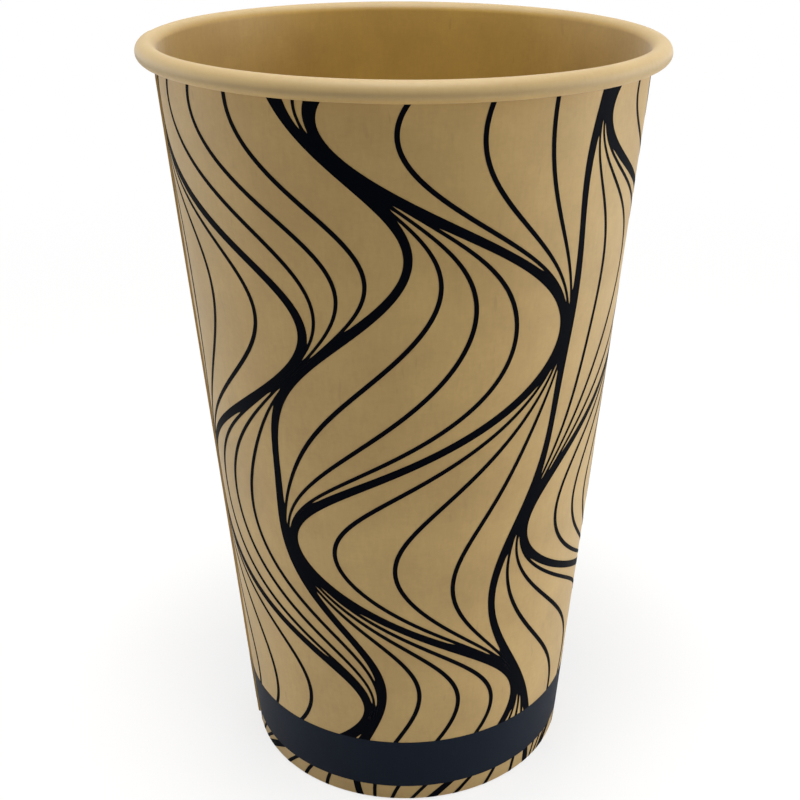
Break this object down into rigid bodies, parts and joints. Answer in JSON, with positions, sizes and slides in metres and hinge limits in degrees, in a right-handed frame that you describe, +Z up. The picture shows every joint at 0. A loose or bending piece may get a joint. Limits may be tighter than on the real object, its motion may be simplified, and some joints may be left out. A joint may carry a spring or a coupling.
{
  "type": "paper coffee cup",
  "caption": "Single-wall paper hot-drink cup with a rolled rim, a lapped side seam, a folded foot, a recessed base and a dark print of flowing lines.",
  "frame": {"origin": "centre of the foot, on the surface the cup stands on", "axes": "+Z up along the cup's axis; the front faces -Y and the side seam is at the left, near -X"},
  "size_m": [0.09, 0.09, 0.138],
  "materials": {
    "kraft_board": "matt uncoated kraft board outside, thin sealed coating inside",
    "base_board": "matt kraft board with a thin sealed coating",
    "navy_ink": "matt printed ink on board",
    "black_ink": "matt printed ink on board"
  },
  "bodies": {
    "root": {"side_wall": "kraft_board", "base_disc": "base_board", "printed_band": "navy_ink", "printed_lines": "black_ink"}
  },
  "joints": []
}
